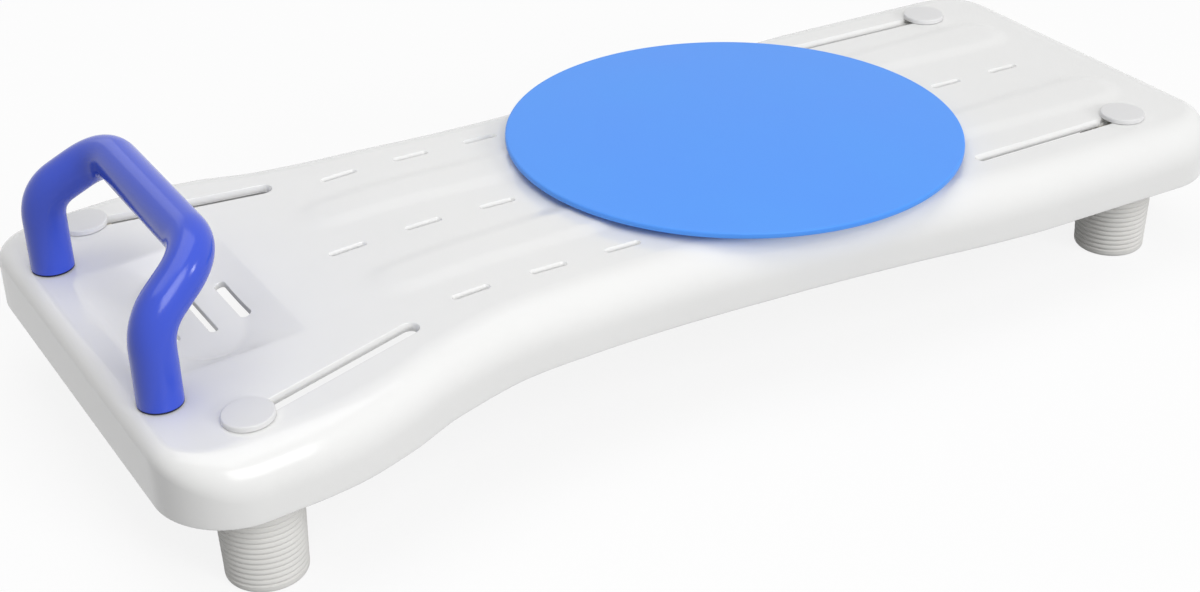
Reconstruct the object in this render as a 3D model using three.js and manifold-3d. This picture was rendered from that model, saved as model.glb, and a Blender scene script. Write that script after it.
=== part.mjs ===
// Bath board with a turntable seat, a grab handle and four sliding clamp feet.
// Millimetres, +Z up. +X runs along the board from the handle end to the far end, the
// board is centred on the origin in plan, and the four foot sleeves stand on Z = 0.

import * as THREE from 'three';
import { mergeVertices } from 'three/addons/utils/BufferGeometryUtils.js';
import Module from 'manifold-3d';

const wasm = await Module();
wasm.setup();

// Fits and overruns shared by every piece
const gap = 0.3;
const cutOverrun = 1;
const joinOverlap = 0.5;
const weldDistance = 0.0001;
const flatness = 0.01;

// Board moulding: plan outline, rolled edge and skirt
const boardLength = 740;
const handleEndHalfWidth = 166;
const farEndHalfWidth = 146.5;
const waistHalfWidth = 127.5;
const cornerRadius = 45;
const sideRoll = 24;
const endRoll = 10;
const skirtDepth = 38;
const wall = 3.6;
const deckHeight = 95.5;

// Share of the board length from the middle, and share of the flare out from the waist
const handleFlareShares = [
  [-0.405, 1], [-0.373, 0.965], [-0.324, 0.74], [-0.272, 0.36], [-0.199, 0.09], [-0.088, 0],
];
const farFlareShares = [
  [-0.088, 0], [0.03, 0.16], [0.146, 0.5], [0.239, 0.89], [0.29, 1], [0.34, 1],
];
const sideStations = 36;
const cornerSteps = 5;
const rollSteps = 4;

// Raised seat area: the deck climbs a ramp from the handle end and falls off slowly
const rampStart = 37;
const rampBlend = 12;
const crestStart = 220;
const crestBlend = 20;
const rampShare = 0.05;
const fallShare = 0.025;

// Drain slots: a middle row and two side rows, with the same pitch, placed along the board
// by shares of its length from the middle
const drainLength = 22;
const drainWidth = 3.4;
const drainRecessDepth = 1.2;
const drainRecessMargin = 1.1;
const drainPitchShare = 0.067027;
const middleRowStartShare = -0.269865;
const middleRowCount = 11;
const sideRowStartShare = -0.222568;
const sideRowCount = 6;
const sideRowOffset = 87;
const slotEndSteps = 3;

// Four long low pads in the seat, two on each side of the turntable. Each keeps a distance to
// the turntable's race plate and to the feet's caps
const padStartShare = -0.277027;
const padEndInset = 27;
const padRaceGap = 12;
const handlePadFootGap = 22.4;
const farPadFootGap = 9.2;
const handlePadWidth = 42;
const farPadWidth = 43;
const padRise = 1.4;
const padSlope = 9;
const padSteps = 8;
const padEndSteps = 4;

// Soap dish, centred between the handle legs, at a distance from the handle end
const dishEndInset = 70;
const dishLength = 91;
const dishWidth = 135.6;
const dishDepth = 7.4;
const dishFloorLength = 56;
const dishFloorWidth = 104;
const dishSteps = 16;
const dishSquareness = 12;
const roundSquareness = 2;

// Drain slots of the dish: place and width as shares of its length, length as a share of its width
const dishSlotShares = [
  { along: 0.2967, length: 0.3245, width: 0.0714 },
  { along: 0.0659, length: 0.3761, width: 0.0549 },
  { along: -0.1648, length: 0.3245, width: 0.0549 },
];

// Stiffening ribs under the deck: long rows at shares of the waist's half width, cross ribs
// between the drains
const ribDepth = 24;
const ribThickness = 2.4;
const ribRowShares = [-0.4863, -0.2353, 0.2353, 0.4863];
const ribDishMargin = 14.5;
const ribEndInset = 25;
const crossRibStartShare = -0.246351;
const crossRibCount = 6;
const ribSteps = 12;

// Adjusting slots: the foot centres at the outer stops are set in from the board's end and
// edge, and those at the inner stops from its edge, at shares of its length from the middle
const handleFootEndInset = 54;
const handleFootOuterEdgeInset = 39.4;
const handleFootInnerShare = -0.292297;
const handleFootInnerEdgeInset = 44.9;
const farFootEndInset = 60;
const farFootOuterEdgeInset = 44.1;
const farFootInnerShare = 0.265946;
const farFootInnerEdgeInset = 42.4;
const slitWidth = 9;
const slitLipThickness = 2;
const slitLipDepth = 1.1;

// Foot: cap with its key, bolt, clamp washer, core, insert nut and ribbed sleeve
const capRadius = 14.4;
const capThickness = 3.2;
const capEdge = 1.1;
const capFloor = 0.8;
const capPocketHeight = 1.5;
const keyLength = 14;
const keySideGap = 0.4;
const keyShortfall = 0.8;
const boltRadius = 2.5;
const boltHeadRadius = 6.6;
const boltHeadHeight = 1;
const boltEndHeight = 40;
const boltClearance = 0.2;
const threadClearance = 0.1;
const washerRadius = 17;
const washerThickness = 2.5;
const coreFlangeRadius = 19;
const coreFlangeThickness = 3;
const coreRadius = 11;
const insertRadius = 5;
const insertLength = 11;
const sleeveFloor = 5;
const sleeveTopRadius = 25.6;
const sleeveBottomRadius = 22.6;
const sleeveFoot = 5.1;
const ringPitch = 3.42;
const ringCount = 15;
const ringDepth = 1.1;

// Grab handle, its legs set in from the handle end
const handleEndInset = 21.5;
const handleHalfSpan = 87;
const tubeRadius = 12.6;
const tubeBore = 9.5;
const kneeHeight = 47.5;
const gripReach = 37;
const gripHalfSpan = 71.2;
const gripHeight = 73;
const kneeBend = 15;
const elbowBend = 21;
const tubeSteps = 50;
const tubeSides = 16;
const gasketThickness = 0.8;
const gasketInset = 0.2;
const plugLength = 32;
const plugBoreDepth = 26;
const mountBossRadius = 13;
const mountBossDepth = 6;
const mountScrewRadius = 4;
const mountScrewReach = 22;
const mountWasherRadius = 11;
const mountWasherThickness = 1.6;
const mountHeadRadius = 7.5;
const mountHeadHeight = 5.3;
const holeClearance = 0.6;

// Turntable, its axis at a share of the board's length from the middle
const turntableShare = 0.097297;
const discRadius = 146;
const discThickness = 3.6;
const discLift = 4.7;
const discBevel = 1.4;
const discLowerBevel = 0.6;
const discBossRadius = 11;
const discPocketSkin = 1.1;
const glideInnerRadius = 44;
const glideWidth = 12;
const glideThickness = 1.2;
const glideTrackMargin = 1;
const raceRadius = 60;
const raceThickness = 1.4;
const bushBodyRadius = 7.7;
const bushFlangeRadius = 11.5;
const hubBossRadius = 16;
const spindleRadius = 4;
const spindleInsertRadius = 6.5;
const raceScrewCircle = 34;
const raceScrewCount = 3;
const raceScrewRadius = 1.5;
const raceScrewHeadRadius = 3.6;
const raceScrewHeadHeight = 1.6;
const raceScrewLength = 8;
const raceScrewBossRadius = 4.2;
const raceScrewBossDepth = 5;

// Round pieces: sides of their circles
const fineSides = 48;
const mediumSides = 18;
const smallSides = 12;
const sleeveSides = 14;
const hexSides = 6;

// Materials, with colours as seen on the object
const white = new THREE.MeshStandardMaterial({ color: 0xf2f2f0, roughness: 0.38, metalness: 0 });
const grey = new THREE.MeshStandardMaterial({ color: 0xdcdcda, roughness: 0.5, metalness: 0 });
const rubberGrey = new THREE.MeshStandardMaterial({ color: 0xdedcd8, roughness: 0.75, metalness: 0 });
const seatBlue = new THREE.MeshStandardMaterial({ color: 0x4f95ff, roughness: 0.55, metalness: 0 });
const handleBlue = new THREE.MeshStandardMaterial({ color: 0x4050cc, roughness: 0.35, metalness: 0 });
const blackRubber = new THREE.MeshStandardMaterial({ color: 0x1e2030, roughness: 0.8, metalness: 0 });
const nylon = new THREE.MeshStandardMaterial({ color: 0xe8e4d8, roughness: 0.5, metalness: 0 });
const steel = new THREE.MeshStandardMaterial({ color: 0xb8babd, roughness: 0.3, metalness: 1 });
const brass = new THREE.MeshStandardMaterial({ color: 0xc8a85a, roughness: 0.35, metalness: 1 });

// Value at x of a smooth curve through the points, flat at its two ends and never overshooting
function smoothThrough(points, x) {
  const last = points.length - 1;
  if (x <= points[0][0]) return points[0][1];
  if (x >= points[last][0]) return points[last][1];
  const slope = (i) => (points[i + 1][1] - points[i][1]) / (points[i + 1][0] - points[i][0]);
  const tangent = (i) => {
    if (i === 0 || i === last) return 0;
    const before = slope(i - 1);
    const after = slope(i);
    return before * after <= 0 ? 0 : (2 * before * after) / (before + after);
  };
  let i = 0;
  while (x > points[i + 1][0]) i += 1;
  const span = points[i + 1][0] - points[i][0];
  const t = (x - points[i][0]) / span;
  const t2 = t * t;
  const t3 = t2 * t;
  return (2 * t3 - 3 * t2 + 1) * points[i][1] + (t3 - 2 * t2 + t) * span * tangent(i)
    + (3 * t2 - 2 * t3) * points[i + 1][1] + (t3 - t2) * span * tangent(i + 1);
}

// Half the width of the board at x, before its corners are rounded
function halfWidth(x) {
  const share = x / boardLength;
  if (share < handleFlareShares[handleFlareShares.length - 1][0]) {
    const flare = smoothThrough(handleFlareShares, share);
    return waistHalfWidth + flare * (handleEndHalfWidth - waistHalfWidth);
  }
  return waistHalfWidth + smoothThrough(farFlareShares, share) * (farEndHalfWidth - waistHalfWidth);
}

// A bend that is zero before its blend, climbs 1 for 1 after it, and is a parabola within it
function softBend(distance, blend) {
  if (distance <= -blend) return 0;
  if (distance >= blend) return distance;
  return (distance + blend) ** 2 / (4 * blend);
}

// Height of the deck's top face at x
function deckAt(x) {
  const fromEnd = x + boardLength / 2;
  return deckHeight + rampShare * softBend(fromEnd - rampStart, rampBlend)
    - (rampShare + fallShare) * softBend(fromEnd - crestStart, crestBlend);
}

// Places along the board that follow its length
const handleEndX = -boardLength / 2;
const farEndX = boardLength / 2;
const handleX = handleEndX + handleEndInset;
const dishCentreX = handleEndX + dishEndInset;
const turntableX = boardLength * turntableShare;
const drainPitch = boardLength * drainPitchShare;

// Place at x whose distance in from the edge of the board is given
function setIn(x, edgeInset) {
  return { x, y: halfWidth(x) - edgeInset };
}

const handleFootOuter = setIn(handleEndX + handleFootEndInset, handleFootOuterEdgeInset);
const handleFootInner = setIn(boardLength * handleFootInnerShare, handleFootInnerEdgeInset);
const farFootOuter = setIn(farEndX - farFootEndInset, farFootOuterEdgeInset);
const farFootInner = setIn(boardLength * farFootInnerShare, farFootInnerEdgeInset);

// Turns a closed geometry into a solid, welded, without collapsed triangles and facing out
function toSolid(geometry) {
  const bare = geometry.clone();
  bare.deleteAttribute('normal');
  bare.deleteAttribute('uv');
  const welded = mergeVertices(bare, weldDistance);
  const places = welded.attributes.position.array;
  const corners = [];
  let volume = 0;
  const index = welded.index.array;
  const at = (k) => new THREE.Vector3(places[3 * k], places[3 * k + 1], places[3 * k + 2]);
  for (let i = 0; i < index.length; i += 3) {
    const [a, b, c] = [index[i], index[i + 1], index[i + 2]];
    if (a === b || b === c || c === a) continue;
    corners.push(a, b, c);
    volume += at(a).dot(at(b).cross(at(c)));
  }
  const triVerts = new Uint32Array(corners);
  if (volume < 0) {
    for (let i = 0; i < triVerts.length; i += 3) {
      const kept = triVerts[i + 1];
      triVerts[i + 1] = triVerts[i + 2];
      triVerts[i + 2] = kept;
    }
  }
  const vertProperties = new Float32Array(places);
  return new wasm.Manifold(new wasm.Mesh({ numProp: 3, vertProperties, triVerts }));
}

function toGeometry(solid) {
  const mesh = solid.asOriginal().simplify(flatness).getMesh();
  const geometry = new THREE.BufferGeometry();
  geometry.setAttribute('position', new THREE.BufferAttribute(new Float32Array(mesh.vertProperties), 3));
  geometry.setIndex(new THREE.BufferAttribute(new Uint32Array(mesh.triVerts), 1));
  geometry.computeVertexNormals();
  return geometry;
}

function piece(name, solid, material, place) {
  const mesh = new THREE.Mesh(toGeometry(solid), material);
  mesh.name = name;
  if (place) mesh.position.copy(place);
  return mesh;
}

// Solid from rings of points. Each ring has a front half and a back half, paired from one
// end to the other. Rungs across the first and the last ring close the solid.
function ladderSolid(rings) {
  const points = [];
  const corners = [];
  const count = rings[0].front.length;
  for (const ring of rings) {
    for (const point of ring.front) points.push(...point);
    for (const point of [...ring.back].reverse()) points.push(...point);
  }
  const around = 2 * count;
  for (let r = 0; r + 1 < rings.length; r += 1) {
    for (let i = 0; i < around; i += 1) {
      const a = r * around + i;
      const b = r * around + ((i + 1) % around);
      corners.push(a, b, b + around, a, b + around, a + around);
    }
  }
  const cap = (r, flip) => {
    for (let i = 0; i + 1 < count; i += 1) {
      const f0 = r * around + i;
      const f1 = f0 + 1;
      const b0 = r * around + around - 1 - i;
      const b1 = b0 - 1;
      if (flip) corners.push(f0, b1, f1, f0, b0, b1);
      else corners.push(f0, f1, b1, f0, b1, b0);
    }
  };
  cap(0, true);
  cap(rings.length - 1, false);
  const geometry = new THREE.BufferGeometry();
  geometry.setAttribute('position', new THREE.BufferAttribute(new Float32Array(points), 3));
  geometry.setIndex(corners);
  return toSolid(geometry);
}

// A ring of a half outline, mirrored about y = middleY and laid at a depth below the deck
function ringOf(half, middleY, depth) {
  const place = (x, y) => [x, y, deckAt(x) - depth];
  return {
    front: half.map(([x, y]) => place(x, middleY - y)),
    back: half.map(([x, y]) => place(x, middleY + y)),
  };
}

// Solid of revolution about Z from a profile of [radius, height] points
function turned(profile, sides) {
  const geometry = new THREE.LatheGeometry(profile.map(([r, z]) => new THREE.Vector2(r, z)), sides);
  geometry.rotateX(Math.PI / 2);
  return toSolid(geometry);
}

function disc(radius, low, high, sides) {
  return turned([[0, low], [radius, low], [radius, high], [0, high]], sides);
}

function ring(inner, outer, low, high, sides) {
  return turned([[inner, low], [outer, low], [outer, high], [inner, high], [inner, low]], sides);
}

// Half outline of a slot with round ends, from x = start to x = end, as [x, half width]
function slotHalf(start, end, width, steps) {
  const radius = width / 2;
  const half = [];
  for (let i = 0; i <= steps; i += 1) {
    const turn = (i / steps) * (Math.PI / 2);
    half.push([start + radius * (1 - Math.cos(turn)), radius * Math.sin(turn)]);
  }
  for (let i = steps; i >= 0; i -= 1) {
    const turn = (i / steps) * (Math.PI / 2);
    half.push([end - radius * (1 - Math.cos(turn)), radius * Math.sin(turn)]);
  }
  return half;
}

// Slot-shaped solid in the deck between two places, from one depth to another
function slotSolid(from, to, width, topDepth, lowDepth) {
  const run = Math.hypot(to.x - from.x, to.y - from.y);
  const along = { x: (to.x - from.x) / run, y: (to.y - from.y) / run };
  const half = slotHalf(-width / 2, run + width / 2, width, slotEndSteps);
  const turnedRing = (depth) => {
    const place = ([u, v], side) => {
      const x = from.x + along.x * u - along.y * v * side;
      const y = from.y + along.y * u + along.x * v * side;
      return [x, y, deckAt(x) - depth];
    };
    return { front: half.map((p) => place(p, -1)), back: half.map((p) => place(p, 1)) };
  };
  return ladderSolid([turnedRing(topDepth), turnedRing(lowDepth)]);
}

// Half outline of the board as points with their outward normals, handle end first
function boardHalf() {
  const half = [];
  const reach = boardLength / 2 - cornerRadius;
  const corner = (sign, width, k) => {
    const turn = (k / cornerSteps) * (Math.PI / 2);
    const nx = sign * Math.cos(turn);
    const ny = Math.sin(turn);
    const x = sign * reach + cornerRadius * nx;
    half.push({ x, y: width - cornerRadius + cornerRadius * ny, nx, ny });
  };
  for (let k = 0; k <= cornerSteps; k += 1) corner(-1, handleEndHalfWidth, k);
  for (let i = 1; i < sideStations; i += 1) {
    const x = -reach + (2 * reach * i) / sideStations;
    const step = reach / sideStations;
    const slope = (halfWidth(x + step) - halfWidth(x - step)) / (2 * step);
    const length = Math.hypot(slope, 1);
    half.push({ x, y: halfWidth(x), nx: -slope / length, ny: 1 / length });
  }
  for (let k = cornerSteps; k >= 0; k -= 1) corner(1, farEndHalfWidth, k);
  return half;
}

// Outer or inner skin of the board's rolled edge, from the deck edge down to the skirt's rim
function rollRings(half, skin) {
  const rings = [];
  const rollAt = (point) => endRoll + (sideRoll - endRoll) * point.ny ** 2;
  for (let k = 0; k <= rollSteps; k += 1) {
    const turn = (k / rollSteps) * (Math.PI / 2);
    const places = half.map((point) => {
      const roll = rollAt(point);
      const inset = roll - (roll - skin) * Math.sin(turn);
      const depth = roll - (roll - skin) * Math.cos(turn);
      return [point.x - point.nx * inset, point.y - point.ny * inset, depth];
    });
    rings.push(places);
  }
  rings.push(half.map((point) => [point.x - point.nx * skin, point.y - point.ny * skin, skirtDepth]));
  return rings.map((places) => ({
    front: places.map(([x, y, depth]) => [x, -y, deckAt(x) - depth]),
    back: places.map(([x, y, depth]) => [x, y, deckAt(x) - depth]),
  }));
}

// Straight bar under the deck, bent with it
function underBar(x0, x1, y0, y1, topDepth, lowDepth, steps) {
  const half = [];
  for (let i = 0; i <= steps; i += 1) half.push([x0 + ((x1 - x0) * i) / steps, (y1 - y0) / 2]);
  const middleY = (y0 + y1) / 2;
  return ladderSolid([ringOf(half, middleY, topDepth), ringOf(half, middleY, lowDepth)]);
}

// Rounded oblong of the dish: square exponent at the rim, round at the floor
function dishHalf(length, width, squareness) {
  const half = [];
  for (let i = 0; i <= dishSteps; i += 1) {
    const turn = Math.PI * (1 - i / dishSteps);
    const across = Math.cos(turn);
    const x = dishCentreX + (length / 2) * Math.sign(across) * Math.abs(across) ** (2 / squareness);
    half.push([x, (width / 2) * Math.max(Math.sin(turn), 0) ** (2 / squareness)]);
  }
  return half;
}

function dishSolid(skin) {
  const rim = dishHalf(dishLength + 2 * skin, dishWidth + 2 * skin, dishSquareness);
  const floor = dishHalf(dishFloorLength + 2 * skin, dishFloorWidth + 2 * skin, roundSquareness);
  const top = skin > 0 ? wall / 2 : -cutOverrun;
  const rimDepth = skin > 0 ? wall : 0;
  return ladderSolid([
    ringOf(rim, 0, top), ringOf(rim, 0, rimDepth), ringOf(floor, 0, dishDepth + skin),
  ]);
}

// Low seat pad between two places along the board: its rim slopes up to a flat top, and the
// same slope carries on a little way into the deck
function padSolid(start, end, width, middleY) {
  const half = (inset) => {
    const shape = slotHalf(start + inset, end - inset, width - 2 * inset, padEndSteps);
    const first = shape.slice(0, padEndSteps + 1);
    const last = shape.slice(padEndSteps + 1);
    const from = first[first.length - 1];
    const to = last[0];
    const between = [];
    for (let i = 1; i < padSteps; i += 1) {
      between.push([from[0] + ((to[0] - from[0]) * i) / padSteps, from[1]]);
    }
    return [...first, ...between, ...last];
  };
  const rooted = -(padSlope * joinOverlap) / padRise;
  return ladderSolid([ringOf(half(padSlope), middleY, -padRise), ringOf(half(rooted), middleY, joinOverlap)]);
}

// The four seat pads: start, end, width and how far their middle is from the board's
function seatPads() {
  const reach = raceRadius + padRaceGap;
  const handleOuter = handleFootInner.y - capRadius - handlePadFootGap;
  const farOuter = Math.min(farFootOuter.y, farFootInner.y) - capRadius - farPadFootGap;
  const solids = [];
  for (const side of [-1, 1]) {
    const handleY = side * (handleOuter - handlePadWidth / 2);
    const farY = side * (farOuter - farPadWidth / 2);
    solids.push(padSolid(boardLength * padStartShare, turntableX - reach, handlePadWidth, handleY));
    solids.push(padSolid(turntableX + reach, farEndX - padEndInset, farPadWidth, farY));
  }
  return solids;
}

// Places worked out from the sizes above, shared by the pieces that meet there
const underDeck = wall;
const slitDepth = underDeck + slitLipDepth;
const keyWidth = slitWidth - 2 * keySideGap;
const slitPastFoot = keyLength / 2 - Math.sqrt((slitWidth / 2 - gap) ** 2 - (keyWidth / 2) ** 2);
const mountBossEnd = underDeck + mountBossDepth;
const turntableTilt = Math.atan(fallShare);
const turntablePlace = new THREE.Vector3(turntableX, 0, deckAt(turntableX));

function tilted(solid) {
  const turn = new THREE.Matrix4().makeRotationY(turntableTilt);
  turn.setPosition(turntablePlace);
  return solid.transform(turn.elements);
}

const sides = [
  { name: 'front', y: -1 },
  { name: 'back', y: 1 },
];

const feet = [];
for (const side of sides) {
  for (const end of [
    { name: 'handle_end', outer: handleFootOuter, inner: handleFootInner, slope: rampShare },
    { name: 'far_end', outer: farFootOuter, inner: farFootInner, slope: -fallShare },
  ]) {
    feet.push({
      name: `${side.name}_${end.name}`,
      outer: { x: end.outer.x, y: side.y * end.outer.y },
      inner: { x: end.inner.x, y: side.y * end.inner.y },
      slope: end.slope,
    });
  }
}

// The line that a foot slides along, as a unit direction in plan
function slideLine(foot) {
  const run = Math.hypot(foot.inner.x - foot.outer.x, foot.inner.y - foot.outer.y);
  return { x: (foot.inner.x - foot.outer.x) / run, y: (foot.inner.y - foot.outer.y) / run };
}

// Centres of the two round ends of a foot's adjusting slot
function slitEnds(foot) {
  const line = slideLine(foot);
  const past = { x: line.x * slitPastFoot, y: line.y * slitPastFoot };
  return [
    { x: foot.outer.x - past.x, y: foot.outer.y - past.y },
    { x: foot.inner.x + past.x, y: foot.inner.y + past.y },
  ];
}

// Leans a solid to follow the deck: all of it above a height rises with x at a slope
function leaned(solid, slope, aboveZ) {
  return solid.warp((point) => {
    if (point[2] > aboveZ) point[2] += slope * point[0];
  });
}

function raceScrewPlaces() {
  const places = [];
  for (let i = 0; i < raceScrewCount; i += 1) {
    const turn = Math.PI / 2 + (i * 2 * Math.PI) / raceScrewCount;
    places.push({ x: raceScrewCircle * Math.cos(turn), y: raceScrewCircle * Math.sin(turn) });
  }
  return places;
}

function boardShell() {
  const half = boardHalf();
  const outer = rollRings(half, 0);
  const inner = rollRings(half, wall).reverse();
  let shell = ladderSolid([...outer, ...inner]);

  for (const pad of seatPads()) shell = shell.add(pad);

  // Added under the deck: ribs, bosses and the dish's underside
  const ribRows = ribRowShares.map((share) => share * waistHalfWidth);
  const ribStart = dishCentreX + dishLength / 2 + ribDishMargin;
  const ribEnd = farEndX - ribEndInset;
  for (const y of ribRows) {
    const [y0, y1] = [y - ribThickness / 2, y + ribThickness / 2];
    shell = shell.add(underBar(ribStart, ribEnd, y0, y1, underDeck - joinOverlap, ribDepth, ribSteps));
  }
  for (let i = 0; i < crossRibCount; i += 1) {
    const x = boardLength * crossRibStartShare + 2 * i * drainPitch;
    const [x0, x1] = [x - ribThickness / 2, x + ribThickness / 2];
    const reach = ribRows[ribRows.length - 1];
    shell = shell.add(underBar(x0, x1, -reach, reach, underDeck - joinOverlap, ribDepth, 1));
  }
  for (const side of sides) {
    const boss = disc(mountBossRadius, -mountBossEnd, -underDeck + joinOverlap, mediumSides);
    shell = shell.add(boss.translate([handleX, side.y * handleHalfSpan, deckHeight]));
  }
  shell = shell.add(tilted(disc(hubBossRadius, -mountBossEnd, -underDeck + joinOverlap, mediumSides)));
  for (const place of raceScrewPlaces()) {
    const low = -underDeck - raceScrewBossDepth;
    const boss = disc(raceScrewBossRadius, low, -underDeck + joinOverlap, smallSides);
    shell = shell.add(tilted(boss.translate([place.x, place.y, 0])));
  }
  shell = shell.add(dishSolid(wall));
  for (const foot of feet) {
    const [from, to] = slitEnds(foot);
    const outerWidth = slitWidth + 2 * slitLipThickness;
    shell = shell.add(slotSolid(from, to, outerWidth, underDeck - joinOverlap, slitDepth));
  }

  // Cut from the deck: dish, drains, adjusting slots and screw holes
  const cuts = [dishSolid(0)];
  const through = dishDepth + underDeck + cutOverrun;
  for (const share of dishSlotShares) {
    const width = dishLength * share.width;
    const reach = (dishWidth * share.length - width) / 2;
    const x = dishCentreX + dishLength * share.along;
    cuts.push(slotSolid({ x, y: -reach }, { x, y: reach }, width, -cutOverrun, through));
  }
  const drainCut = (centreX, y) => {
    const reach = (drainLength - drainWidth) / 2;
    const [from, to] = [{ x: centreX - reach, y }, { x: centreX + reach, y }];
    const lip = drainWidth + 2 * drainRecessMargin;
    cuts.push(slotSolid(from, to, drainWidth, -cutOverrun, underDeck + cutOverrun));
    cuts.push(slotSolid(from, to, lip, -cutOverrun, drainRecessDepth));
  };
  for (let i = 0; i < middleRowCount; i += 1) {
    const x = boardLength * middleRowStartShare + i * drainPitch;
    if (Math.abs(x - turntableX) > raceRadius + drainLength / 2) drainCut(x, 0);
  }
  for (let i = 0; i < sideRowCount; i += 1) {
    const x = boardLength * sideRowStartShare + i * drainPitch;
    drainCut(x, -sideRowOffset);
    drainCut(x, sideRowOffset);
  }
  for (const foot of feet) {
    const [from, to] = slitEnds(foot);
    cuts.push(slotSolid(from, to, slitWidth, -cutOverrun, slitDepth + cutOverrun));
  }
  for (const side of sides) {
    const hole = disc(mountScrewRadius + holeClearance, -mountBossEnd - cutOverrun, cutOverrun, smallSides);
    cuts.push(hole.translate([handleX, side.y * handleHalfSpan, deckHeight]));
  }
  const low = -mountBossEnd - cutOverrun;
  cuts.push(tilted(disc(bushBodyRadius + gap, low, cutOverrun, mediumSides)));
  for (const place of raceScrewPlaces()) {
    const hole = disc(raceScrewRadius + gap, low, cutOverrun, smallSides);
    cuts.push(tilted(hole.translate([place.x, place.y, 0])));
  }
  for (const cut of cuts) shell = shell.subtract(cut);
  return shell;
}

// Centreline of the handle: two legs, two slanted stretches and the grip, with rounded bends
function handlePath(footHeight) {
  const corner = (side) => [
    new THREE.Vector3(handleX, side * handleHalfSpan, footHeight),
    new THREE.Vector3(handleX, side * handleHalfSpan, deckHeight + kneeHeight),
    new THREE.Vector3(handleX + gripReach, side * gripHalfSpan, deckHeight + gripHeight),
  ];
  const points = [...corner(-1), ...corner(1).reverse()];
  const bends = [kneeBend, elbowBend, elbowBend, kneeBend];
  const path = new THREE.CurvePath();
  let from = points[0];
  for (let i = 1; i + 1 < points.length; i += 1) {
    const reach = bends[i - 1];
    const before = points[i].clone().add(points[i - 1].clone().sub(points[i]).setLength(reach));
    const after = points[i].clone().add(points[i + 1].clone().sub(points[i]).setLength(reach));
    path.add(new THREE.LineCurve3(from, before));
    path.add(new THREE.QuadraticBezierCurve3(before, points[i], after));
    from = after;
  }
  path.add(new THREE.LineCurve3(from, points[points.length - 1]));
  return path;
}

function circlePoints(radius, count) {
  const points = [];
  for (let i = 0; i < count; i += 1) {
    const turn = (i / count) * 2 * Math.PI;
    points.push(new THREE.Vector2(radius * Math.cos(turn), radius * Math.sin(turn)));
  }
  return points;
}

function handleTube() {
  const section = new THREE.Shape(circlePoints(tubeRadius, tubeSides));
  section.holes.push(new THREE.Path(circlePoints(tubeBore, tubeSides / 2).reverse()));
  const extrudePath = handlePath(deckHeight + gap + gasketThickness + gap);
  const options = { steps: tubeSteps, extrudePath, bevelEnabled: false };
  return toSolid(new THREE.ExtrudeGeometry(section, options));
}

// The handle's fixing at one leg: gasket, plug in the tube, washer and screw from below
function handleFixing(side) {
  const place = new THREE.Vector3(handleX, side.y * handleHalfSpan, deckHeight);
  const tubeEnd = gap + gasketThickness + gap;
  const boreRadius = mountScrewRadius + threadClearance;
  const plugRadius = tubeBore * Math.cos(Math.PI / (tubeSides / 2)) - gap;
  const plug = disc(plugRadius, tubeEnd, tubeEnd + plugLength, mediumSides)
    .subtract(disc(boreRadius, tubeEnd - cutOverrun, tubeEnd + plugBoreDepth, smallSides));
  const washerTop = -mountBossEnd - gap;
  const washerLow = washerTop - mountWasherThickness;
  const headTop = washerLow - gap;
  const headLow = headTop - mountHeadHeight;
  const screw = disc(mountHeadRadius, headLow, headTop, hexSides)
    .add(disc(mountScrewRadius, headLow + joinOverlap, mountScrewReach, smallSides));
  const gasketInner = mountScrewRadius + holeClearance;
  const gasketOuter = tubeRadius - gasketInset;
  const name = side.name;
  return [
    piece(`handle_gasket_${name}`, ring(gasketInner, gasketOuter, gap, gap + gasketThickness, mediumSides),
      blackRubber, place),
    piece(`handle_plug_${name}`, plug, nylon, place),
    piece(`handle_washer_${name}`,
      ring(mountScrewRadius + gap, mountWasherRadius, washerLow, washerTop, mediumSides), steel, place),
    piece(`handle_screw_${name}`, screw, steel, place),
  ];
}

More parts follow.
